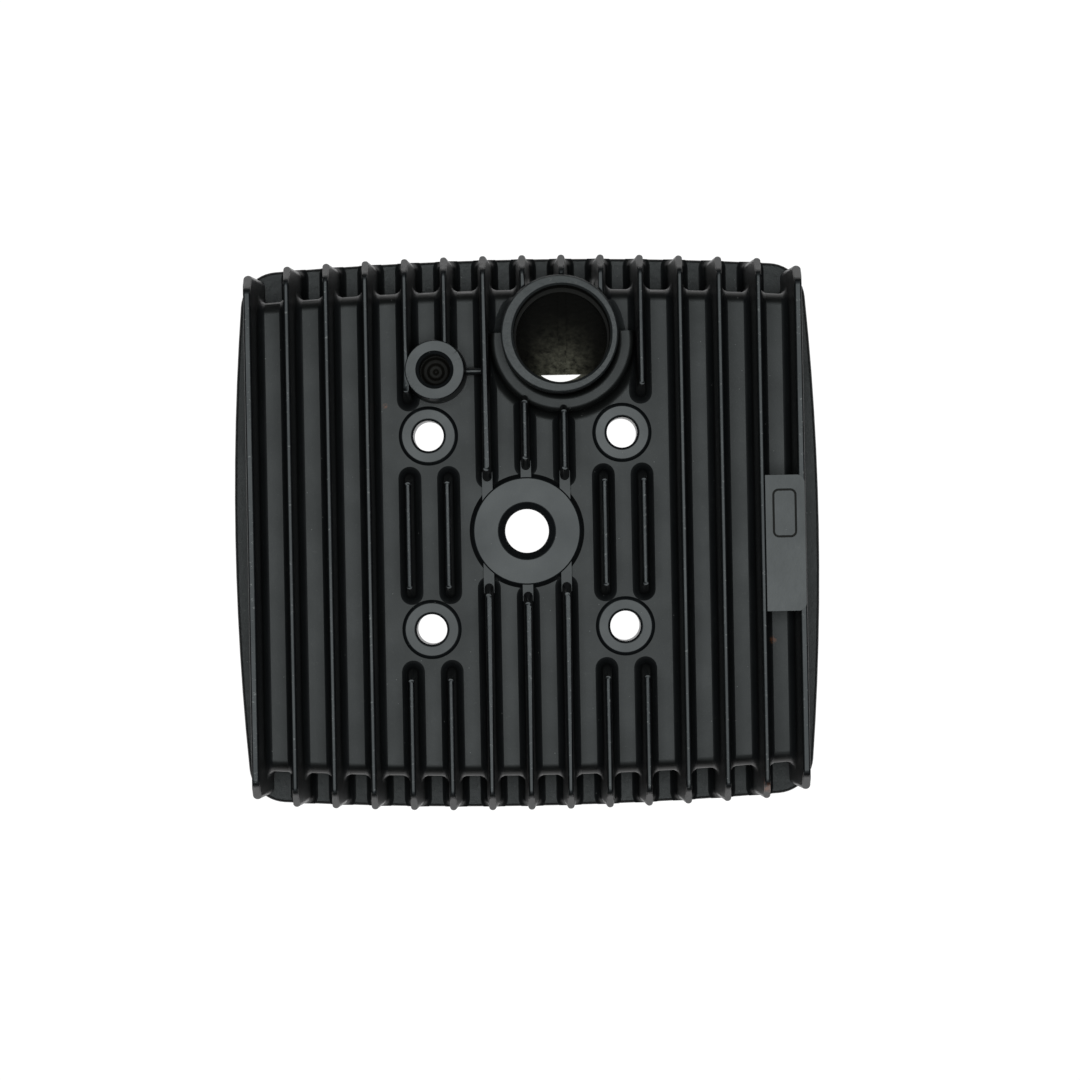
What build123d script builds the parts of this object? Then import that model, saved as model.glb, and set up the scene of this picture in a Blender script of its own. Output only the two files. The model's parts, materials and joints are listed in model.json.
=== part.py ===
from build123d import *
import math
import os

# Air-cooled two-stroke cylinder head, millimetres.
# Origin: centre of the four studs, on the gasket face.  +Z points to the spark plug side,
# +Y to the side with the mount collar, +X to the side with the name pad.

# Levels
GASKET_Z = 0.0
DECK_TOP_Z = 18.0
DECK_THICKNESS = 5.0
FIN_TOP_Z = 42.0
BRIM_TOP_Z = -10.0
BRIM_THICKNESS = 4.0

# Plan outline of the brim
OUTLINE_X = -0.05
OUTLINE_Y = -0.45
HALF_WIDTH = 86.25
HALF_LENGTH = 80.75
SIDE_ARC_R = 800.0
END_ARC_R = 1100.0
CORNER_R = 11.0
BRIM_EDGE_R = 0.9

# Cooling fins: every face leans by the same draft
FIN_COUNT = 15
FIN_PITCH = 11.2
FIN_TOP_WIDTH = 1.6
EDGE_FIN_TOP_WIDTH = 2.1
DRAFT = math.radians(1.4)
ROOT_R = 2.7
ROOT_SINK = 0.09
TIP_AXIS_INSET = 2.4
EDGE_TIP_AXIS_INSET = 4.3
TIP_SLANT_RUN = 4.4
TIP_SLANT_DROP = 9.0
TIP_CORNER_R = 3.0
CREST_CORNER_R = 2.5
TIP_CLEARANCE = 0.05
INNER_END_LEAN = 0.105
INNER_END_REACH = 9.0
ROOT_SEARCH = 3.4

# Deck and walls
LIP_INSET = 10.3
LIP_R = 3.5
WALL = 4.5
WALL_FOOT_R = 1.8
CAVITY_CORNER_R = 6.0

# Studs and gasket face
STUD_PITCH = 56.0
STUD_HOLE_R = 4.4
STUD_SEAT_R = 7.85
STUD_BOSS_R = 8.6
STUD_POST_R = 9.6
STUD_SEAT_RISE = 1.1
STUD_CHAMFER = 0.4
CHAMBER_BODY_R = 38.0

# Combustion chamber, under the plug
BORE_R = 34.5
DOME_EDGE_R = 25.0
SQUISH_DEPTH = 1.2

# Spark plug seat, M14 x 1.25, short reach
PLUG_SEAT_Z = 21.0
PLUG_SEAT_R = 15.45
PLUG_BOSS_R = 16.6
PLUG_CORE_R = 12.0
PLUG_MINOR_R = 6.35
PLUG_CHAMFER_R = 8.15
PLUG_REACH = 12.7

# Mount collar: a machined bore for a rubber bush above a narrower, rough-cast core
COLLAR_X = 10.4
COLLAR_Y = 55.9
COLLAR_TOP_Z = 43.0
COLLAR_OUTER_R = 16.75
COLLAR_FOOT_R = 3.2
COLLAR_BORE_X = 11.0
COLLAR_BORE_R = 13.8
COLLAR_SHOULDER_Z = 27.5
COLLAR_MOUTH_CHAMFER = 0.6
COLLAR_EDGE_CHAMFER = 0.4
CORE_X = 11.0
CORE_Y = 55.3
CORE_R = 13.1

# Half ring round the plug side of the collar
SHROUD_X = 11.1
SHROUD_Y = 54.7
SHROUD_R = 20.6
SHROUD_TOP_Z = 28.0
SHROUD_CROWN_R = 1.4
SHROUD_CROWN_FLAT = 1.9
SHROUD_GAP_R = 15.2
SHROUD_GAP_Z = 24.0
SHROUD_END_Y = 57.0

# Sloping wall across the core, its rib and the opening at its low end
RAMP_LOW_Y = 45.6
RAMP_LOW_Z = 1.5
RAMP_HIGH_Y = 70.0
RAMP_HIGH_Z = 27.0
RAMP_THICKNESS = 3.0
RIB_X = 11.2
RIB_WIDTH = 2.3
RIB_RISE = 1.2
RIB_END_Y = 49.2
OPENING_X = 10.7
OPENING_R = 9.4
OPENING_HEIGHT = 2.1

# Brim window under the collar
WINDOW_X = 11.0
WINDOW_WIDTH = 22.0
WINDOW_FAR_Y = 73.8
WINDOW_NEAR_Y = 60.0

# Small threaded boss, M10 x 1, blind
VENT_X = -25.4
VENT_Y = 46.3
VENT_TOP_Z = 41.4
VENT_R = 8.45
VENT_EDGE_R = 0.3
VENT_MINOR_R = 4.5
VENT_DEPTH = 18.0
VENT_DRILL_TIP = 2.7
VENT_CHAMFER = 0.95
VENT_WEB_WIDTH = 2.0
VENT_WEB_TOP_Z = 25.0

# Name pad between the last two fins
PAD_X0 = 68.0
PAD_X1 = 79.2
PAD_LENGTH = 38.7
PAD_Y = -4.8
PAD_TOP_Z = 42.4
PAD_CORNER_R = 2.2
BADGE_X = 73.4
BADGE_Y = 3.7
BADGE_WIDTH = 6.9
BADGE_LENGTH = 13.9
BADGE_CORNER_R = 1.8
BADGE_GROOVE = 0.6
BADGE_DEPTH = 0.6

DECK_UNDER_Z = DECK_TOP_Z - DECK_THICKNESS
BRIM_BOTTOM_Z = BRIM_TOP_Z - BRIM_THICKNESS
EDGE_FIN_X = FIN_PITCH * (FIN_COUNT - 1) / 2
SIDE_TOP_X = EDGE_FIN_X + EDGE_FIN_TOP_WIDTH / 2
STUD = STUD_PITCH / 2
BIG = 400.0

# Where each broken fin stops: (start, end) of every run of crest, None for the outer tip
FIN_RUNS = {
    5: [(None, -41.7), (-16.0, 14.4), (40.0, None)],
    6: [(None, -41.7), (-16.0, 14.4), (48.0, None)],
    7: [(None, -17.7), (17.2, None)],
    8: [(None, -20.3), (20.3, 37.2), (60.0, None)],
    9: [(None, -17.7), (17.2, 34.3), (60.0, None)],
    10: [(None, -41.7), (-16.0, 14.4), (60.0, None)],
    11: [(None, -41.7), (-16.0, 14.4), (41.0, None)],
}
STUB_FINS = (7, 8, 9)
COLLAR_FINS = (7, 8, 9, 10, 11)
SHROUD_FINS = (8, 9, 10)
STUB_WIDTH = 3.0
STUB_TOP_Z = 20.7


def end_y(x, sign):
    """Y of the plan outline's end at x, on the +Y or the -Y side."""
    half = HALF_LENGTH - END_ARC_R + math.sqrt(END_ARC_R ** 2 - (x - OUTLINE_X) ** 2)
    return OUTLINE_Y + sign * half


def side_x(z):
    """Half-width of the casting's drafted side face at height z."""
    return SIDE_TOP_X + (FIN_TOP_Z - z) * math.tan(DRAFT)


def end_strip(inset):
    """Plan region between the two end arcs, moved inwards by inset."""
    end = END_ARC_R - inset
    shape = Pos(OUTLINE_X, OUTLINE_Y + HALF_LENGTH - END_ARC_R) * Circle(end)
    return shape & Pos(OUTLINE_X, OUTLINE_Y + END_ARC_R - HALF_LENGTH) * Circle(end)


def outline():
    """Pillow-shaped plan outline of the brim."""
    shape = end_strip(0)
    shape &= Pos(OUTLINE_X + HALF_WIDTH - SIDE_ARC_R, OUTLINE_Y) * Circle(SIDE_ARC_R)
    shape &= Pos(OUTLINE_X + SIDE_ARC_R - HALF_WIDTH, OUTLINE_Y) * Circle(SIDE_ARC_R)
    return fillet(shape.vertices(), CORNER_R)


def side_prism(inset):
    """Block between the two drafted side faces, moved inwards by inset."""
    low = side_x(BRIM_BOTTOM_Z) - inset
    high = side_x(FIN_TOP_Z) - inset
    face = Polygon(
        (-low, BRIM_BOTTOM_Z), (low, BRIM_BOTTOM_Z), (high, FIN_TOP_Z), (-high, FIN_TOP_Z),
        align=None,
    )
    return extrude(Plane.XZ * face, BIG / 2, both=True)


def slab(shape, z0, z1):
    """Plan shape extruded from z0 to z1."""
    return extrude(Pos(0, 0, z0) * shape, z1 - z0)


def cylinder(x, y, radius, z0, z1):
    return slab(Pos(x, y) * Circle(radius), z0, z1)


def stud_places():
    return [(-STUD, -STUD), (STUD, -STUD), (STUD, STUD), (-STUD, STUD)]


# ---- shells ----

def hat(inset):
    """Solid block under the deck, with rounded end lips, shrunk on all outer faces by inset."""
    block = slab(end_strip(LIP_INSET + inset), BRIM_BOTTOM_Z, DECK_TOP_Z - inset)
    rim = block.faces().sort_by(Axis.Z)[-1].edges()
    lips = [edge for edge in rim if edge.length > 2 * EDGE_FIN_X]
    return fillet(lips, LIP_R) & side_prism(inset)


def foot_section(radius):
    """Concave corner fillet between a wall at x = 0 and a floor at y = 0, in its own plane."""
    centre = radius - ROOT_SINK
    reach = centre - math.sqrt(radius ** 2 - centre ** 2)
    near = radius * (1 - math.sqrt(0.5)) - ROOT_SINK
    with BuildSketch() as sketch:
        with BuildLine():
            Polyline((-ROOT_SINK, centre), (-1, centre), (-1, -1), (reach, -1), (reach, 0))
            ThreePointArc((reach, 0), (near, near), (-ROOT_SINK, centre))
        make_face()
    return sketch.sketch


def wall_feet():
    """Fillets from the end walls and the side faces down to the brim."""
    section = foot_section(WALL_FOOT_R)
    wall_r = END_ARC_R - LIP_INSET
    feet = []
    for sign in (-1, 1):
        centre_y = OUTLINE_Y - sign * (END_ARC_R - HALF_LENGTH)
        across = Plane(origin=(OUTLINE_X, centre_y + sign * wall_r, BRIM_TOP_Z),
                       x_dir=(0, sign, 0), z_dir=(sign, 0, 0))
        axis = Axis((OUTLINE_X, centre_y, 0), (0, 0, 1))
        ring = revolve(across * section, axis, 6) + revolve(across * section, axis, -6)
        feet.append(ring & side_prism(0))
        along = Plane(origin=(sign * side_x(BRIM_TOP_Z), OUTLINE_Y, BRIM_TOP_Z),
                      x_dir=(sign, 0, 0), z_dir=(0, -sign, 0))
        strip = extrude(along * section, HALF_LENGTH - LIP_INSET, both=True)
        feet.append(strip)
    return feet


def cavity():
    """Space inside the deck and its walls, open below."""
    plan = end_strip(LIP_INSET + WALL) & Rectangle(2 * (side_x(BRIM_TOP_Z) - WALL), BIG)
    plan = fillet(plan.vertices(), CAVITY_CORNER_R)
    return slab(plan, BRIM_BOTTOM_Z - 1, DECK_UNDER_Z)


def make_brim():
    plate = slab(outline(), BRIM_BOTTOM_Z, BRIM_TOP_Z)
    rim = plate.faces().sort_by(Axis.Z)[-1].edges() + plate.faces().sort_by(Axis.Z)[0].edges()
    plate = fillet(rim, BRIM_EDGE_R)
    window = Rectangle(WINDOW_WIDTH, WINDOW_FAR_Y - WINDOW_NEAR_Y)
    window = Pos(WINDOW_X, (WINDOW_FAR_Y + WINDOW_NEAR_Y) / 2) * fillet(window.vertices(), 2)
    return plate - cavity() - slab(window, BRIM_BOTTOM_Z - 1, BRIM_TOP_Z + 1)


# ---- fins ----

def tip_axis_y(x, sign):
    """Y of the upright axis of a fin's round outer tip."""
    inset = EDGE_TIP_AXIS_INSET if abs(x) > EDGE_FIN_X - 1 else TIP_AXIS_INSET
    return end_y(x, sign) - sign * inset


def half_width(z, top_width):
    """Half-thickness of a fin blade at height z."""
    return top_width / 2 + (FIN_TOP_Z - z) * math.tan(DRAFT)


def blade_level(z, top_width, ends):
    """Slot-shaped plan of a fin blade at height z: ends holds (y at the crest, lean, sign)."""
    radius = half_width(z, top_width)
    low, high = [y + sign * (FIN_TOP_Z - z) * lean for y, lean, sign in ends]
    shape = Pos(0, (low + high) / 2) * Rectangle(2 * radius, high - low)
    shape += Pos(0, low) * Circle(radius)
    shape += Pos(0, high) * Circle(radius)
    return Pos(0, 0, z) * shape


def blade(x, start, end, top_width):
    """Drafted blade with round ends, from below the brim to above the crest."""
    ends = []
    for crest_end, sign in ((start, -1), (end, 1)):
        if crest_end is None:
            ends.append((tip_axis_y(x, sign), 0.0, sign))
        else:
            ends.append((crest_end - sign * top_width / 2, INNER_END_LEAN, sign))
    low = blade_level(BRIM_BOTTOM_Z, top_width, ends)
    high = blade_level(FIN_TOP_Z + 2, top_width, ends)
    return Pos(x, 0, 0) * loft([low.face(), high.face()], ruled=True)


def blade_side_view(x, start, end, top_width):
    """Side view of a blade, which levels its crest and slants its outer top corners."""
    corner_z = FIN_TOP_Z - TIP_SLANT_DROP
    points = []
    radii = []
    for crest_end, sign in ((start, -1), (end, 1)):
        if crest_end is None:
            axis_y = tip_axis_y(x, sign)
            foot_y = axis_y + sign * (half_width(BRIM_BOTTOM_Z, top_width) + TIP_CLEARANCE)
            corner_y = axis_y + sign * (half_width(corner_z, top_width) + TIP_CLEARANCE)
            corner = [
                (foot_y, BRIM_BOTTOM_Z),
                (corner_y, corner_z),
                (corner_y - sign * TIP_SLANT_RUN, FIN_TOP_Z),
            ]
            radius = [0, TIP_CORNER_R, CREST_CORNER_R]
        else:
            far_y = crest_end + sign * INNER_END_REACH
            corner = [(far_y, BRIM_BOTTOM_Z), (far_y, FIN_TOP_Z)]
            radius = [0, 0]
        points += corner if sign < 0 else corner[::-1]
        radii += radius if sign < 0 else radius[::-1]
    shape = make_face(Polyline(*points, close=True))
    for point, radius in zip(points, radii):
        if radius:
            corner = shape.vertices().sort_by_distance((point[0], point[1], 0))[0]
            shape = fillet(corner, radius)
    upright = Plane(origin=(x, 0, 0), x_dir=(0, 1, 0), z_dir=(1, 0, 0))
    return extrude(upright * shape, FIN_PITCH / 2, both=True)


def root_edges(body, x, edge_fin):
    """Inside corners between a fin and the deck, lips, walls and brim that it stands on."""
    chosen = []
    for edge in body.edges():
        middle = edge @ 0.5
        offset = middle.X - x
        steep = abs((edge % 0.5).Z) > 0.9
        at_tip = abs(abs(middle.Y) - HALF_LENGTH) < LIP_INSET / 2
        if abs(offset) > ROOT_SEARCH or middle.Z > DECK_TOP_Z + 0.5:
            continue
        if middle.Z < BRIM_TOP_Z - 0.5 or (steep and at_tip) or abs(middle.Y) > HALF_LENGTH + 5:
            continue
        if edge.length > FIN_PITCH and abs((edge % 0.5).X) > 0.9:
            continue
        if edge_fin and (offset * x > 0 or abs(offset) < 0.5 or middle.Z < BRIM_TOP_Z + 0.5):
            continue
        chosen.append(edge)
    return chosen


def fin_run(x, start, end, top_width, inner_hat, edge_fin):
    """One run of fin, with its root fillets, down to the solid hat and the brim."""
    body = blade(x, start, end, top_width) & blade_side_view(x, start, end, top_width)
    strip = Pos(x, 0) * Rectangle(2 * FIN_PITCH, BIG)
    body += inner_hat & slab(strip, BRIM_BOTTOM_Z, DECK_TOP_Z)
    body += slab(strip, BRIM_BOTTOM_Z - 1, BRIM_TOP_Z - ROOT_SINK)
    return fillet(root_edges(body, x, edge_fin), ROOT_R)


def make_fin(number, inner_hat, inside_brim, keep_out):
    """Fin number 1 to 15, over the brim's outline and clear of the solids in keep_out."""
    x = (number - (FIN_COUNT + 1) / 2) * FIN_PITCH
    edge_fin = number in (1, FIN_COUNT)
    top_width = EDGE_FIN_TOP_WIDTH if edge_fin else FIN_TOP_WIDTH
    runs = []
    for start, end in FIN_RUNS.get(number, [(None, None)]):
        run = fin_run(x, start, end, top_width, inner_hat, edge_fin) & inside_brim
        if (number, start, end) in stubbed_runs():
            run = run + fin_stub(x, start, end)
        for solid in keep_out:
            run = run - solid
        runs += run.solids()
    return runs


def stubbed_runs():
    """The two runs of each of fins 7, 8 and 9 that face the plug boss."""
    return [(number, *run) for number in STUB_FINS for run in FIN_RUNS[number][:2]]


def fin_stub(x, start, end):
    """Low bar from the inner end of a fin on to the plug boss."""
    inner = min([y for y in (start, end) if y is not None], key=abs)
    bar = Pos(x, inner / 2) * Rectangle(STUB_WIDTH, abs(inner))
    return slab(bar, DECK_TOP_Z, STUB_TOP_Z)


# ---- centre ----

def plug_turret():
    """Outside of the plug boss, before its hole is bored."""
    turret = cylinder(0, 0, PLUG_CORE_R, GASKET_Z, DECK_UNDER_Z)
    turret += cylinder(0, 0, PLUG_BOSS_R, DECK_UNDER_Z, DECK_TOP_Z)
    step = Cone(PLUG_BOSS_R, PLUG_SEAT_R, PLUG_SEAT_Z - DECK_TOP_Z)
    return turret + Pos(0, 0, (PLUG_SEAT_Z + DECK_TOP_Z) / 2) * step


def make_plug_boss():
    """Raised spark plug seat and its threaded hole, down to the chamber roof."""
    boss = plug_turret() - dome()
    boss -= cylinder(0, 0, PLUG_MINOR_R, GASKET_Z - 1, PLUG_SEAT_Z + 1)
    depth = PLUG_CHAMFER_R - PLUG_MINOR_R
    mouth = Cone(PLUG_MINOR_R, PLUG_CHAMFER_R, depth)
    return boss - Pos(0, 0, PLUG_SEAT_Z - depth / 2) * mouth


def dome():
    """Combustion chamber: squish band and spherical roof, up to the end of the plug thread."""
    roof_z = PLUG_SEAT_Z - PLUG_REACH
    rise = roof_z - SQUISH_DEPTH
    flat_r = PLUG_MINOR_R + 1.0
    chord = math.sqrt(DOME_EDGE_R ** 2 - flat_r ** 2)
    radius = (chord ** 2 + rise ** 2) / (2 * rise)
    ball = Pos(0, 0, SQUISH_DEPTH + rise - radius) * Sphere(radius)
    ball = ball & cylinder(0, 0, DOME_EDGE_R, SQUISH_DEPTH - 1, roof_z)
    squish = Cone(BORE_R, DOME_EDGE_R, SQUISH_DEPTH + 0.6)
    return ball + Pos(0, 0, (SQUISH_DEPTH + 0.6) / 2) * squish


def make_chamber_body():
    """Solid middle of the head: gasket face below, deck above."""
    body = cylinder(0, 0, CHAMBER_BODY_R, GASKET_Z, DECK_UNDER_Z)
    body -= cylinder(0, 0, PLUG_CORE_R, GASKET_Z - 1, DECK_UNDER_Z + 1)
    for x, y in stud_places():
        body -= cylinder(x, y, STUD_POST_R, GASKET_Z - 1, DECK_UNDER_Z + 1)
    return body - dome()


def make_stud_post(x, y):
    seat_z = DECK_TOP_Z + STUD_SEAT_RISE
    post = cylinder(x, y, STUD_POST_R, GASKET_Z, DECK_UNDER_Z)
    post += cylinder(x, y, STUD_BOSS_R, DECK_UNDER_Z, DECK_TOP_Z)
    post += Pos(x, y, (seat_z + DECK_TOP_Z) / 2) * Cone(STUD_BOSS_R, STUD_SEAT_R, STUD_SEAT_RISE)
    post -= cylinder(x, y, STUD_HOLE_R, GASKET_Z - 1, seat_z + 1)
    mouth = Cone(STUD_HOLE_R, STUD_HOLE_R + STUD_CHAMFER, STUD_CHAMFER)
    return post - Pos(x, y, seat_z - STUD_CHAMFER / 2) * mouth - dome()


# ---- mount collar ----

def above_ramp(rise):
    """Everything above the ramp and its level low end, lifted squarely off them by rise."""
    slope = (RAMP_HIGH_Z - RAMP_LOW_Z) / (RAMP_HIGH_Y - RAMP_LOW_Y)
    lift = rise * math.hypot(1.0, slope)
    level_z = RAMP_LOW_Z + rise
    level_y = RAMP_LOW_Y - (lift - rise) / slope
    far_y = 2 * RAMP_HIGH_Y
    far_z = RAMP_LOW_Z + slope * (far_y - RAMP_LOW_Y) + lift
    face = Polygon((0, level_z), (level_y, level_z), (far_y, far_z), (far_y, BIG), (0, BIG),
                   align=None)
    return extrude(Plane.YZ * face, BIG / 2, both=True)


def under_collar(bar):
    """Part of an upright bar that the collar keeps: above the ramp's or the deck's underside."""
    return bar & (above_ramp(-RAMP_THICKNESS) + slab(Rectangle(BIG, BIG), DECK_UNDER_Z, BIG))


def collar_bar():
    foot_z = RAMP_LOW_Z - RAMP_THICKNESS
    bar = cylinder(COLLAR_X, COLLAR_Y, COLLAR_OUTER_R, foot_z, COLLAR_TOP_Z)
    bar = chamfer(bar.faces().sort_by(Axis.Z)[-1].edges(), COLLAR_EDGE_CHAMFER)
    return under_collar(bar)


def collar_core():
    foot_z = RAMP_LOW_Z - RAMP_THICKNESS
    return under_collar(cylinder(CORE_X, CORE_Y, CORE_R, foot_z, COLLAR_SHOULDER_Z))


def solid_collar(inner_hat, solid_hat):
    """Outside of the collar, with its foot fillet on the deck, before it is bored."""
    bar = collar_bar()
    body = inner_hat + bar
    feet = []
    for edge in body.edges():
        low = edge.center().Z < DECK_TOP_Z and edge.bounding_box().min.Z > DECK_UNDER_Z - 1
        spots = [edge @ 0.25, edge @ 0.5, edge @ 0.75]
        gaps = [abs(math.hypot(p.X - COLLAR_X, p.Y - COLLAR_Y) - COLLAR_OUTER_R) for p in spots]
        if low and max(gaps) < 0.05 and max(p.Z for p in spots) > DECK_UNDER_Z + 0.1:
            feet.append(edge)
    above = slab(Rectangle(BIG, BIG), DECK_UNDER_Z, BIG)
    return ((fillet(feet, COLLAR_FOOT_R) & above) - solid_hat) + bar


def make_collar(outside):
    """Bored tube that holds a rubber bush, cut off below along the ramp."""
    tube = outside - cylinder(COLLAR_BORE_X, COLLAR_Y, COLLAR_BORE_R, COLLAR_SHOULDER_Z, BIG)
    tube -= cylinder(CORE_X, CORE_Y, CORE_R, BRIM_BOTTOM_Z, BIG)
    mouth = Cone(COLLAR_BORE_R, COLLAR_BORE_R + COLLAR_MOUTH_CHAMFER, COLLAR_MOUTH_CHAMFER)
    return tube - Pos(COLLAR_BORE_X, COLLAR_Y, COLLAR_TOP_Z - COLLAR_MOUTH_CHAMFER / 2) * mouth


def make_ramp():
    """Sloping wall across the core, with a rib down its middle and an opening at its low end."""
    core = collar_core()
    strip = Pos(RIB_X, RIB_END_Y + BIG / 4) * Rectangle(RIB_WIDTH, BIG / 2)
    strip += Pos(RIB_X, RIB_END_Y) * Circle(RIB_WIDTH / 2)
    rib = (core - above_ramp(RIB_RISE)) & slab(strip, BRIM_TOP_Z, COLLAR_TOP_Z)
    opening_y = RAMP_LOW_Y - OPENING_HEIGHT + OPENING_R
    opening = Pos(OPENING_X, opening_y) * Circle(OPENING_R)
    opening &= Pos(0, RAMP_LOW_Y - BIG / 2) * Rectangle(BIG, BIG)
    return (core - above_ramp(0)) + rib - slab(opening, BRIM_BOTTOM_Z, COLLAR_TOP_Z)


def make_shroud():
    """Half ring round the plug side of the collar, its flat crown rounded to both sides."""
    crown_z = SHROUD_TOP_Z - SHROUD_CROWN_R
    crown_x = SHROUD_R - SHROUD_CROWN_R
    flat_x = crown_x - SHROUD_CROWN_FLAT
    inner_x = flat_x - SHROUD_CROWN_R
    corner = SHROUD_CROWN_R * (1 - math.sqrt(0.5))
    foot_x = SHROUD_R + (crown_z - DECK_TOP_Z) * math.tan(DRAFT)
    centre_z = DECK_TOP_Z + ROOT_R
    bend = ROOT_R * (1 - math.sqrt(0.5))
    with BuildSketch() as sketch:
        with BuildLine():
            Polyline((foot_x + ROOT_R, DECK_TOP_Z), (COLLAR_BORE_R, DECK_TOP_Z),
                     (SHROUD_GAP_R, SHROUD_GAP_Z), (inner_x, crown_z))
            ThreePointArc((inner_x, crown_z), (inner_x + corner, SHROUD_TOP_Z - corner),
                          (flat_x, SHROUD_TOP_Z))
            Line((flat_x, SHROUD_TOP_Z), (crown_x, SHROUD_TOP_Z))
            ThreePointArc((crown_x, SHROUD_TOP_Z), (SHROUD_R - corner, SHROUD_TOP_Z - corner),
                          (SHROUD_R, crown_z))
            Line((SHROUD_R, crown_z), (foot_x, centre_z))
            ThreePointArc((foot_x, centre_z), (foot_x + bend, DECK_TOP_Z + bend),
                          (foot_x + ROOT_R, DECK_TOP_Z))
        make_face()
    ring = Pos(SHROUD_X, SHROUD_Y, 0) * revolve(Plane.XZ * sketch.sketch, Axis.Z, 360)
    half = Pos(0, SHROUD_END_Y - BIG / 2) * Rectangle(BIG, BIG)
    return ring & slab(half, DECK_TOP_Z, COLLAR_TOP_Z)


# ---- small features on the deck ----

def vent_tower(top_z):
    """Drafted outside of the small threaded boss, from the deck to top_z."""
    height = top_z - DECK_TOP_Z
    foot_r = VENT_R + (VENT_TOP_Z - DECK_TOP_Z) * math.tan(DRAFT)
    head_r = foot_r - height * math.tan(DRAFT)
    return Pos(VENT_X, VENT_Y, DECK_TOP_Z + height / 2) * Cone(foot_r, head_r, height)


def make_vent_boss():
    """Small boss with a blind threaded hole, and its low web towards fin 7."""
    tower = vent_tower(VENT_TOP_Z)
    tower = fillet(tower.faces().sort_by(Axis.Z)[-1].edges(), VENT_EDGE_R)
    web_start = VENT_X + VENT_R - 2.0
    web_end = -FIN_PITCH
    web = Rectangle(web_end - web_start, VENT_WEB_WIDTH)
    web = slab(Pos((web_start + web_end) / 2, VENT_Y) * web, DECK_TOP_Z, VENT_WEB_TOP_Z)
    crest = web.faces().sort_by(Axis.Z)[-1].edges().filter_by(Axis.X)
    tower += fillet(crest, 0.45 * VENT_WEB_WIDTH)
    floor_z = VENT_TOP_Z - VENT_DEPTH
    tower -= cylinder(VENT_X, VENT_Y, VENT_MINOR_R, floor_z, VENT_TOP_Z + 1)
    tower -= Pos(VENT_X, VENT_Y, floor_z - VENT_DRILL_TIP / 2) * Cone(0, VENT_MINOR_R, VENT_DRILL_TIP)
    mouth = Cone(VENT_MINOR_R, VENT_MINOR_R + VENT_CHAMFER, VENT_CHAMFER)
    return tower - Pos(VENT_X, VENT_Y, VENT_TOP_Z - VENT_CHAMFER / 2) * mouth


def make_name_pad():
    """Raised blank pad that fills the channel beside the last fin, with an outlined panel."""
    plan = Rectangle(PAD_X1 - PAD_X0, PAD_LENGTH)
    outer_corners = plan.vertices().sort_by(Axis.X)[-2:]
    plan = Pos((PAD_X0 + PAD_X1) / 2, PAD_Y) * fillet(outer_corners, PAD_CORNER_R)
    pad = slab(plan, DECK_TOP_Z, PAD_TOP_Z)
    outer = Rectangle(BADGE_WIDTH, BADGE_LENGTH)
    outer = fillet(outer.vertices(), BADGE_CORNER_R)
    inner = Rectangle(BADGE_WIDTH - 2 * BADGE_GROOVE, BADGE_LENGTH - 2 * BADGE_GROOVE)
    inner = fillet(inner.vertices(), BADGE_CORNER_R - BADGE_GROOVE)
    groove = Pos(BADGE_X, BADGE_Y) * (outer - inner)
    return pad - slab(groove, PAD_TOP_Z - BADGE_DEPTH, PAD_TOP_Z + 1)


def main():
    os.makedirs("parts", exist_ok=True)
    inner_hat = hat(ROOT_SINK)
    solid_hat = hat(0)
    for foot in wall_feet():
        solid_hat += foot
    solid_hat &= slab(Rectangle(BIG, BIG), BRIM_TOP_Z, DECK_TOP_Z)
    inside_brim = slab(outline(), BRIM_TOP_Z, FIN_TOP_Z)
    turret = plug_turret()
    shroud = make_shroud()
    collar = solid_collar(inner_hat, solid_hat)
    vent_space = vent_tower(FIN_TOP_Z + 1)

    deck = solid_hat - cavity() - collar_bar()
    deck -= cylinder(0, 0, PLUG_BOSS_R, DECK_UNDER_Z - 1, DECK_TOP_Z + 1)
    for x, y in stud_places():
        deck -= cylinder(x, y, STUD_BOSS_R, DECK_UNDER_Z - 1, DECK_TOP_Z + 1)

    nodes = {
        "brim_plate": make_brim(),
        "deck_shell": deck,
        "chamber_body": make_chamber_body(),
        "plug_boss": make_plug_boss(),
        "mount_collar": make_collar(collar),
        "collar_ramp": make_ramp(),
    }
    for index, (x, y) in enumerate(stud_places(), start=1):
        nodes[f"stud_post_{index}"] = make_stud_post(x, y)

    for number in range(1, FIN_COUNT + 1):
        keep_out = [solid_hat]
        if number in (5, 6):
            keep_out.append(vent_space)
        if number in STUB_FINS:
            keep_out.append(turret)
        if number in COLLAR_FINS:
            keep_out.append(collar)
        if number in SHROUD_FINS:
            keep_out.append(shroud)
        nodes[f"fin_{number:02d}"] = make_fin(number, inner_hat, inside_brim, keep_out)

    shroud -= collar
    shroud -= cylinder(STUD, STUD, STUD_BOSS_R, DECK_TOP_Z, DECK_TOP_Z + STUD_SEAT_RISE)
    for number in (7, 11):
        for run in nodes[f"fin_{number:02d}"]:
            shroud -= run
    nodes["collar_shroud"] = shroud
    nodes["vent_boss"] = make_vent_boss() - nodes["fin_07"][-1]
    nodes["name_pad"] = make_name_pad() - nodes["fin_14"][0] - nodes["fin_15"][0]

    for name, shape in nodes.items():
        solids = shape if isinstance(shape, list) else shape.solids()
        whole = solids[0] if len(solids) == 1 else Compound(children=solids)
        export_step(whole, f"parts/{name}.step")
        print(name, len(solids), [round(solid.volume) for solid in solids])


main()
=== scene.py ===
"""Looks for the air-cooled cylinder head: paint, bare metal, floor, studio light and camera."""

import json
import math

import bpy
from mathutils import Matrix, Vector


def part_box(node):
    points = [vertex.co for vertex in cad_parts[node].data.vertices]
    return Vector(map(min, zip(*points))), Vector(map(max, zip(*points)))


MM = 0.001
FINS = [f"fin_{number:02d}" for number in range(1, 16)]
STUD_POSTS = [f"stud_post_{number}" for number in range(1, 5)]

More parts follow.
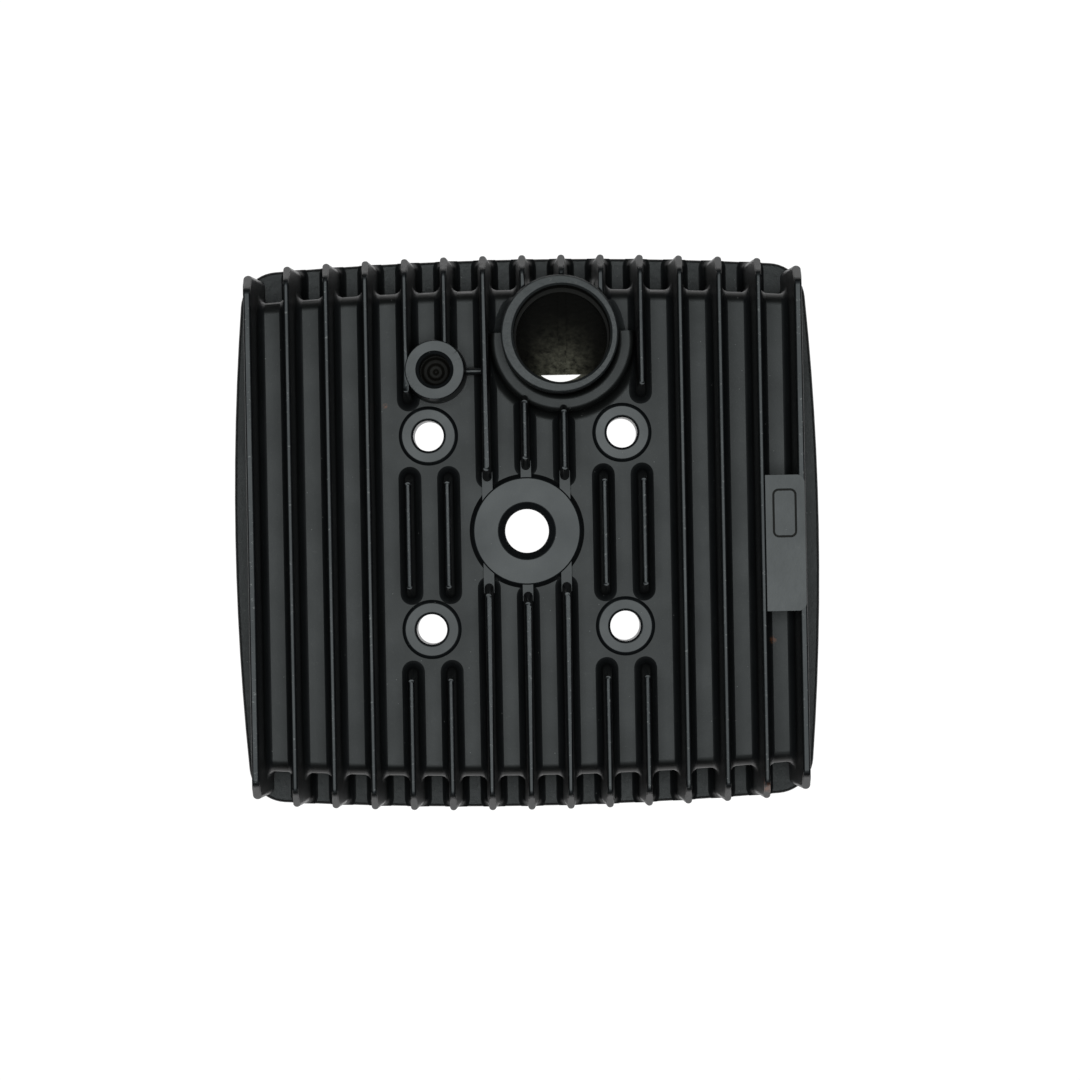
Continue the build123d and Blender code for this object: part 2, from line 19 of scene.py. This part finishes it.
# Linear colours
DUST = (0.16, 0.155, 0.14, 1.0)
FLECK = (0.3, 0.3, 0.29, 1.0)
RUST = (0.26, 0.09, 0.035, 1.0)
# Painted shade for the inside of holes and grooves
PAINTED_HOLE_SHADE = (0.012, 0.01, 0.007, 1.0)
# Worn paint and painted highlight on the fins' upward crest faces
WORN_PAINT_AND_HIGHLIGHT = (0.06, 0.066, 0.072, 1.0)
BARE_NICK = (0.34, 0.34, 0.33, 1.0)
CORE_SKIN = (0.009, 0.008, 0.0065, 1.0)
# Pale patches on the ramp: partly deposit, partly painted light from the glow below
CORE_DEPOSIT_AND_PAINTED_LIGHT = (0.75, 0.7, 0.52, 1.0)

PAINT_IOR = 1.5

# Holes get painted shade this much wider than they are, so that their walls are covered
HOLE_MARGIN = 0.3 * MM
HOLE_ROUGHNESS = 0.7
PLUG_THREAD_PITCH = 1.25 * MM
VENT_THREAD_PITCH = 1.0 * MM
THREAD_RIDGE = 12.0

# Centre of the pad's outlined panel, from the pad's lowest corner, and a circle round the outline
BADGE_X = 5.4 * MM
BADGE_Y = 27.85 * MM
BADGE_REACH = 7.6 * MM
BADGE_SKIN = 0.1 * MM

# Rounded edges
WELD_DISTANCE = 0.002 * MM
SHARP_ANGLE = math.radians(32)
EDGE_RADIUS = 0.3 * MM
EDGE_SEGMENTS = 3
CREST_RADIUS = 0.5 * MM
CREST_DEPTH = 1.5 * MM
SHORTEST_CREST_EDGE = 2 * MM
FIN_TIP_Y = 62 * MM

# Studio, in metres
FLOOR_SIDE = 3.0
FLOOR_GAP = 0.2 * MM
FLOOR_GLOW = 1.05
WORLD_GLOW = 0.006
SOFTBOX_HEIGHT = 1.2
SOFTBOX_SIDE = 0.42
SOFTBOX_POWER = 4.6
SOFTBOX_COLOUR = (0.91, 0.99, 1.0)

# Camera, straight above and turned a little about the view axis
CAMERA_HEIGHT = 1.375
CAMERA_ROLL = math.radians(1.07)
CAMERA_RIGHT = 3.77 * MM
CAMERA_UP = -2.63 * MM
SENSOR_WIDTH = 36.0
FOCAL_LENGTH = 156.3

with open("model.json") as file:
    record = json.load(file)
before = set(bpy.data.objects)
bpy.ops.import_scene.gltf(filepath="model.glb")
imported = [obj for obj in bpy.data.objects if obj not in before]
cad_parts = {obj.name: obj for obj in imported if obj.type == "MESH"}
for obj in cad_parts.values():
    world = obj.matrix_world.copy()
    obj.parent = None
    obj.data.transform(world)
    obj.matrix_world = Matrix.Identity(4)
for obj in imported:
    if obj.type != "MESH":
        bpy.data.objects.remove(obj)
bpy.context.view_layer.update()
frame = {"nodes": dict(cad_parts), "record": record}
mounts = {mount["name"]: mount for mount in frame["record"]["mounts"]}
base_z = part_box("brim_plate")[0].z
deck_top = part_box("deck_shell")[1].z
fin_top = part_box("fin_04")[1].z
crest_z = fin_top - CREST_DEPTH

# Small rust marks, on two channel floors and on the tip of one fin: (centre, radius)
RUST_MARKS = (
    ((-40.4 * MM, 36.9 * MM, deck_top), 0.9 * MM),
    ((70.6 * MM, -32.8 * MM, deck_top), 1.3 * MM),
    ((67.6 * MM, -74.0 * MM, fin_top - 3 * MM), 3.2 * MM),
)


# ---- node helpers ----

def add(tree, kind, inputs=None, **settings):
    """Add a node; inputs are constants, or outputs of other nodes to link."""
    node = tree.nodes.new(kind)
    for name, value in settings.items():
        setattr(node, name, value)
    for key, value in (inputs or {}).items():
        if hasattr(value, "is_output"):
            tree.links.new(value, node.inputs[key])
        else:
            node.inputs[key].default_value = value
    return node


def calculate(tree, operation, *values):
    node = add(tree, "ShaderNodeMath", dict(enumerate(values)), operation=operation)
    return node.outputs["Value"]


def times(tree, first, second):
    return calculate(tree, "MULTIPLY", first, second)


def combine(tree, operation, first, second):
    """Vector result of a calculation with two vectors."""
    node = add(tree, "ShaderNodeVectorMath", {0: first, 1: second}, operation=operation)
    return node.outputs["Vector"]


def distance(tree, first, second):
    node = add(tree, "ShaderNodeVectorMath", {0: first, 1: second}, operation="DISTANCE")
    return node.outputs["Value"]


def axis_value(tree, vector, axis):
    return add(tree, "ShaderNodeSeparateXYZ", {"Vector": vector}).outputs[axis]


def noise(tree, place, scale, detail, roughness=0.5):
    inputs = {"Vector": place, "Scale": scale, "Detail": detail, "Roughness": roughness}
    return add(tree, "ShaderNodeTexNoise", inputs).outputs["Fac"]


def ramp(tree, value, stops):
    node = add(tree, "ShaderNodeValToRGB", {"Fac": value})
    for element, (position, level) in zip(node.color_ramp.elements, stops):
        element.position = position
        element.color = (level, level, level, 1.0)
    return node.outputs["Color"]


def scaled(tree, value, from_low, from_high, to_low=0.0, to_high=1.0):
    inputs = {"Value": value, "From Min": from_low, "From Max": from_high,
              "To Min": to_low, "To Max": to_high}
    return add(tree, "ShaderNodeMapRange", inputs).outputs["Result"]


def mixed(tree, amount, low, high, blend="MIX"):
    """Colour mix; low and high are colours or outputs."""
    node = add(tree, "ShaderNodeMix", {0: amount, 6: low, 7: high},
               data_type="RGBA", blend_type=blend)
    return node.outputs[2]


# ---- masks: 1 where something is, 0 elsewhere ----

def specks(tree, place, scale, size):
    """Small separate round spots."""
    cells = add(tree, "ShaderNodeTexVoronoi", {"Vector": place, "Scale": scale})
    return calculate(tree, "LESS_THAN", cells.outputs["Distance"], size)


def patch(tree, place, centre, radius):
    """One round mark, falling to 0 at radius."""
    return scaled(tree, distance(tree, place, centre), radius, radius * 0.4)


def inside_hole(tree, place, centre, radius, below_z):
    """Within radius of an upright hole's axis, and below below_z."""
    flat = combine(tree, "MULTIPLY", place, (1, 1, 0))
    gap = distance(tree, flat, (centre[0], centre[1], 0))
    near = calculate(tree, "LESS_THAN", gap, radius)
    low = calculate(tree, "LESS_THAN", axis_value(tree, place, "Z"), below_z)
    return times(tree, near, low)


def worn_and_lit_crest(tree, place):
    """Upward faces above crest_z, fading out as they turn over at the rounded edges; their paler
    colour is worn paint and a painted highlight.
    """
    normal = add(tree, "ShaderNodeNewGeometry").outputs["Normal"]
    upright = ramp(tree, axis_value(tree, normal, "Z"), [(0.9, 0.0), (0.995, 1.0)])
    high = calculate(tree, "GREATER_THAN", axis_value(tree, place, "Z"), crest_z)
    return times(tree, upright, high)


# ---- materials ----

def new_material(name):
    """Material with an empty principled shader, and the object coordinates to texture it by."""
    material = bpy.data.materials.new(name)
    material.use_nodes = True
    tree = material.node_tree
    tree.nodes.clear()
    output = tree.nodes.new("ShaderNodeOutputMaterial")
    shader = tree.nodes.new("ShaderNodeBsdfPrincipled")
    tree.links.new(shader.outputs["BSDF"], output.inputs["Surface"])
    place = add(tree, "ShaderNodeTexCoord").outputs["Object"]
    return material, tree, shader, place


def set_surface(tree, shader, colour, roughness, height, depth, strength=1.0):
    tree.links.new(colour, shader.inputs["Base Color"])
    if hasattr(roughness, "is_output"):
        tree.links.new(roughness, shader.inputs["Roughness"])
    else:
        shader.inputs["Roughness"].default_value = roughness
    bump = add(tree, "ShaderNodeBump", {"Height": height, "Strength": strength,
                                        "Distance": depth})
    tree.links.new(bump.outputs["Normal"], shader.inputs["Normal"])


def dirty_paint(tree, place, tint, cloud, worn, dusty, crests):
    """Colour of the paint, with crests paler from wear and a painted highlight, dust, pale flecks
    and rust marks.
    """
    shade = ramp(tree, cloud, [(0.3, 0.8), (0.7, 1.2)])
    colour = mixed(tree, 1.0, (*tint, 1.0), shade, blend="MULTIPLY")
    colour = mixed(tree, ramp(tree, worn, [(0.6, 0.0), (0.78, dusty)]), colour, DUST)
    if crests:
        crest = worn_and_lit_crest(tree, place)
        # Paler upward crest faces: partly worn paint, partly painted highlight
        colour = mixed(tree, times(tree, crest, 0.8), colour, WORN_PAINT_AND_HIGHLIGHT)
        nicks = times(tree, crest, ramp(tree, worn, [(0.6, 0.0), (0.7, 1.0)]))
        colour = mixed(tree, nicks, colour, BARE_NICK)
    shifted = combine(tree, "ADD", place, (0.013, 0.0091, 0.0169))
    flecks = times(tree, specks(tree, shifted, 230.0, 0.04), 0.5)
    colour = mixed(tree, flecks, colour, FLECK)
    spotted = ramp(tree, worn, [(0.42, 0.0), (0.54, 1.0)])
    for centre, radius in RUST_MARKS:
        mark = times(tree, patch(tree, place, centre, radius), spotted)
        colour = mixed(tree, mark, colour, RUST)
    return colour


def thread_ridges(tree, place, pitch):
    turns = times(tree, axis_value(tree, place, "Z"), 2 * math.pi / pitch)
    return calculate(tree, "SINE", turns)


def paint_material(name, tint, grain, roughness, dusty, hole=None, thread_pitch=None,
                   crests=False):
    """Black paint on cast aluminium.

    hole is the centre, radius and top of a hole or groove that gets painted shade inside. A hole
    with a thread_pitch is threaded. With crests, the fins' crests are paler from wear and a
    painted highlight.
    """
    material, tree, shader, place = new_material(name)
    cloud = noise(tree, place, 60.0, 4.0)
    worn = noise(tree, place, 900.0, 4.0, 0.7)
    peel = noise(tree, place, 480.0, 2.0)
    fine = noise(tree, place, 2300.0, 3.0, 0.65)
    colour = dirty_paint(tree, place, tint, cloud, worn, dusty, crests)
    gloss = scaled(tree, cloud, 0.3, 0.7, roughness - 0.02, roughness + 0.03)
    height = calculate(tree, "ADD", peel, times(tree, fine, 0.5))
    if hole:
        inside = inside_hole(tree, place, *hole)
        # Painted shade inside the hole or groove
        colour = mixed(tree, inside, colour, PAINTED_HOLE_SHADE)
        gloss = add(tree, "ShaderNodeMix", {0: inside, 2: gloss, 3: HOLE_ROUGHNESS},
                    data_type="FLOAT").outputs[0]
        if thread_pitch:
            ridge = times(tree, thread_ridges(tree, place, thread_pitch), inside)
            height = calculate(tree, "ADD", height, times(tree, ridge, THREAD_RIDGE))
    set_surface(tree, shader, colour, gloss, height, grain)
    shader.inputs["IOR"].default_value = PAINT_IOR
    return material


def core_material():
    """Rough, stained casting skin of the ramp, with pale patches towards its low end that are
    partly deposit and partly painted light from the glow below.
    """
    lowest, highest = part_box("collar_ramp")
    middle_x = mounts["collar_bore"]["pos_m"][0]
    material, tree, shader, place = new_material("stained_cast_core_with_painted_light")
    along = axis_value(tree, place, "Y")
    amount = scaled(tree, along, lowest.y + 2 * MM, highest.y, 1.0, 0.0)
    amount = calculate(tree, "POWER", amount, 3.4)
    offset = calculate(tree, "SUBTRACT", axis_value(tree, place, "X"), middle_x)
    centimetres = times(tree, calculate(tree, "ABSOLUTE", offset), 100.0)
    central = ramp(tree, centimetres, [(0.3, 1.0), (1.0, 0.12)])
    amount = times(tree, amount, central)
    blot = noise(tree, place, 520.0, 6.0, 0.7)
    # Pale mottled patches towards the low end and the middle: partly deposit, partly painted
    # light from the glow below
    spots = times(tree, ramp(tree, blot, [(0.36, 0.1), (0.66, 1.0)]), amount)
    colour = mixed(tree, spots, CORE_SKIN, CORE_DEPOSIT_AND_PAINTED_LIGHT)
    colour = mixed(tree, ramp(tree, blot, [(0.63, 0.0), (0.75, 0.1)]), colour, DUST)
    set_surface(tree, shader, colour, 0.6, blot, 0.3 * MM)
    return material


def machined_material():
    """Bare turned aluminium, with fine concentric tool marks about the plug axis."""
    material, tree, shader, place = new_material("bare_turned_aluminium")
    rings = add(tree, "ShaderNodeTexWave", {"Vector": place, "Scale": 900.0, "Distortion": 0.3},
                wave_type="RINGS", rings_direction="Z")
    shade = ramp(tree, noise(tree, place, 90.0, 5.0), [(0.35, 0.38), (0.7, 0.6)])
    shader.inputs["Metallic"].default_value = 1.0
    set_surface(tree, shader, shade, 0.32, rings.outputs["Fac"], 0.01 * MM, strength=0.5)
    return material


def mount_hole(name):
    """Centre, radius and top of a round mount, for painting shade inside its hole."""
    mount = mounts[name]
    centre = mount["pos_m"]
    return centre, mount["dims"]["r_mm"] * MM + HOLE_MARGIN, centre[2]


def badge_outline():
    """Centre, radius and top of the groove round the pad's panel, which gets painted shade."""
    lowest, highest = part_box("name_pad")
    centre = (lowest.x + BADGE_X, lowest.y + BADGE_Y)
    return centre, BADGE_REACH, highest.z - BADGE_SKIN


def make_finishes():
    """Material of every node."""
    face_tint = (0.016, 0.018, 0.02)
    deck = paint_material("black_deck_paint", (0.012, 0.0125, 0.012), 0.03 * MM, 0.46, 0.2)
    fin = paint_material("black_fin_paint", (0.012, 0.013, 0.014), 0.02 * MM, 0.42, 0.15,
                         crests=True)
    face = paint_material("black_face_paint", face_tint, 0.02 * MM, 0.37, 0.2)
    finishes = {name: deck for name in frame["nodes"]}
    finishes.update({name: fin for name in FINS})
    finishes.update({name: face for name in STUD_POSTS})
    finishes["brim_plate"] = paint_material("black_brim_paint", (0.022, 0.023, 0.023),
                                            0.12 * MM, 0.42, 0.5)
    finishes["plug_boss"] = paint_material("black_plug_paint", face_tint, 0.02 * MM, 0.39, 0.2,
                                           mount_hole("plug_thread"), PLUG_THREAD_PITCH)
    finishes["vent_boss"] = paint_material("black_vent_paint", face_tint, 0.02 * MM, 0.37, 0.2,
                                           mount_hole("vent_thread"), VENT_THREAD_PITCH)
    finishes["mount_collar"] = paint_material("black_collar_paint", (0.045, 0.048, 0.049),
                                              0.12 * MM, 0.4, 0.9, mount_hole("collar_bore"))
    finishes["name_pad"] = paint_material("black_pad_paint", (0.018, 0.02, 0.021), 0.02 * MM,
                                          0.36, 0.2, badge_outline())
    finishes["collar_ramp"] = core_material()
    finishes["chamber_body"] = machined_material()
    return finishes


# ---- rounded edges ----

def new_group(name):
    """Geometry node group, the geometry that comes in and the socket that it leaves by."""
    group = bpy.data.node_groups.new(name, "GeometryNodeTree")
    group.interface.new_socket("Geometry", in_out="INPUT", socket_type="NodeSocketGeometry")
    group.interface.new_socket("Geometry", in_out="OUTPUT", socket_type="NodeSocketGeometry")
    return group, add(group, "NodeGroupInput").outputs[0], add(group, "NodeGroupOutput").inputs[0]


def larger(group, value, limit):
    node = add(group, "FunctionNodeCompare", {"A": value, "B": limit},
               data_type="FLOAT", operation="GREATER_THAN")
    return node.outputs["Result"]


def logic(group, operation, *values):
    node = add(group, "FunctionNodeBooleanMath", dict(enumerate(values)), operation=operation)
    return node.outputs[0]


def shade_smooth(group, geometry, smooth, domain):
    node = add(group, "GeometryNodeSetShadeSmooth",
               {"Geometry": geometry, "Shade Smooth": smooth}, domain=domain)
    return node.outputs["Geometry"]


def mark_edges(name, low_z, shortest):
    """Node group that welds a piece, smooths it and marks the sharp edges to round.

    Those are the sharp edges above low_z. Away from the fins' outer tips, edges no longer
    than shortest are left out.
    """
    group, geometry, leaving = new_group(name)
    welded = add(group, "GeometryNodeMergeByDistance", {"Geometry": geometry,
                                                        "Distance": WELD_DISTANCE})
    angle = add(group, "GeometryNodeInputMeshEdgeAngle").outputs["Unsigned Angle"]
    sharp = larger(group, angle, SHARP_ANGLE)
    smoothed = shade_smooth(group, welded.outputs["Geometry"], True, "FACE")
    smoothed = shade_smooth(group, smoothed, logic(group, "NOT", sharp), "EDGE")
    place = add(group, "GeometryNodeInputPosition").outputs["Position"]
    ends = add(group, "GeometryNodeInputMeshEdgeVertices")
    length = distance(group, ends.outputs["Position 1"], ends.outputs["Position 2"])
    from_middle = calculate(group, "ABSOLUTE", axis_value(group, place, "Y"))
    upper = larger(group, axis_value(group, place, "Z"), low_z)
    at_tip = larger(group, from_middle, FIN_TIP_Y)
    suits = logic(group, "OR", at_tip, larger(group, length, shortest))
    chosen = logic(group, "AND", sharp, logic(group, "AND", upper, suits))
    marked = add(group, "GeometryNodeStoreNamedAttribute",
                 {"Geometry": smoothed, "Name": "bevel_weight_edge", "Value": chosen},
                 data_type="FLOAT", domain="EDGE")
    group.links.new(marked.outputs["Geometry"], leaving)
    return group


def trim_corners(name, lowest, highest):
    """Node group that keeps a piece's rounded corners inside its own box."""
    group, geometry, leaving = new_group(name)
    place = add(group, "GeometryNodeInputPosition").outputs["Position"]
    inside = combine(group, "MAXIMUM", place, tuple(lowest))
    inside = combine(group, "MINIMUM", inside, tuple(highest))
    moved = add(group, "GeometryNodeSetPosition", {"Geometry": geometry, "Position": inside})
    group.links.new(moved.outputs["Geometry"], leaving)
    return group


def round_edges(piece, low_z, radius, clamp=True, shortest=0.0):
    """Round the edges that mark_edges chooses; clamp limits the radius where edges are close."""
    marks = piece.modifiers.new("marks", "NODES")
    marks.node_group = mark_edges(piece.name + "_edges", low_z, shortest)
    bevel = piece.modifiers.new("rounding", "BEVEL")
    bevel.limit_method = "WEIGHT"
    bevel.width = radius
    bevel.segments = EDGE_SEGMENTS
    bevel.use_clamp_overlap = clamp
    trim = piece.modifiers.new("trim", "NODES")
    trim.node_group = trim_corners(piece.name + "_trim", *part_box(piece.name))
    normals = piece.modifiers.new("normals", "WEIGHTED_NORMAL")
    normals.keep_sharp = True


def finish_pieces():
    finishes = make_finishes()
    for name, piece in frame["nodes"].items():
        piece.data.materials.clear()
        piece.data.materials.append(finishes[name])
        if name in FINS:
            round_edges(piece, crest_z, CREST_RADIUS, clamp=False, shortest=SHORTEST_CREST_EDGE)
        else:
            round_edges(piece, deck_top + EDGE_RADIUS, EDGE_RADIUS)


# ---- floor, light and camera ----

def light_table():
    """White glowing surface that is clear when seen from below."""
    material = bpy.data.materials.new("light_table")
    material.use_nodes = True
    tree = material.node_tree
    tree.nodes.clear()
    output = tree.nodes.new("ShaderNodeOutputMaterial")
    glow = add(tree, "ShaderNodeEmission", {"Color": (1, 1, 1, 1), "Strength": FLOOR_GLOW})
    clear = add(tree, "ShaderNodeBsdfTransparent")
    below = add(tree, "ShaderNodeNewGeometry").outputs["Backfacing"]
    surface = add(tree, "ShaderNodeMixShader", {0: below, 1: glow.outputs["Emission"],
                                                2: clear.outputs["BSDF"]})
    tree.links.new(surface.outputs["Shader"], output.inputs["Surface"])
    return material


def make_floor():
    place = (0, 0, base_z - FLOOR_GAP)
    bpy.ops.mesh.primitive_plane_add(size=FLOOR_SIDE, location=place)
    floor = bpy.context.object
    floor.name = "floor"
    floor.data.materials.append(light_table())


def make_softbox():
    """Square soft light straight above the part, shining down."""
    light = bpy.data.lights.new("overhead_softbox", "AREA")
    light.shape = "SQUARE"
    light.size = SOFTBOX_SIDE
    light.energy = SOFTBOX_POWER
    light.color = SOFTBOX_COLOUR
    lamp = bpy.data.objects.new("overhead_softbox", light)
    lamp.location = (0, 0, SOFTBOX_HEIGHT)
    bpy.context.scene.collection.objects.link(lamp)


def make_world():
    world = bpy.data.worlds.new("studio")
    world.use_nodes = True
    back = world.node_tree.nodes["Background"]
    back.inputs["Color"].default_value = (1, 1, 1, 1)
    back.inputs["Strength"].default_value = WORLD_GLOW
    bpy.context.scene.world = world


def make_camera():
    camera = bpy.data.cameras.new("camera")
    camera.sensor_width = SENSOR_WIDTH
    camera.lens = FOCAL_LENGTH
    camera.clip_start = 0.05
    holder = bpy.data.objects.new("camera", camera)
    bpy.context.scene.collection.objects.link(holder)
    right = Vector((math.cos(CAMERA_ROLL), -math.sin(CAMERA_ROLL), 0))
    up = Vector((math.sin(CAMERA_ROLL), math.cos(CAMERA_ROLL), 0))
    back = Vector((0, 0, 1))
    place = right * CAMERA_RIGHT + up * CAMERA_UP + back * CAMERA_HEIGHT
    turn = Matrix((right, up, back)).transposed().to_4x4()
    holder.matrix_world = Matrix.Translation(place) @ turn
    bpy.context.scene.camera = holder


finish_pieces()
make_floor()
make_softbox()
make_world()
make_camera()
bpy.context.scene.view_settings.view_transform = "Standard"
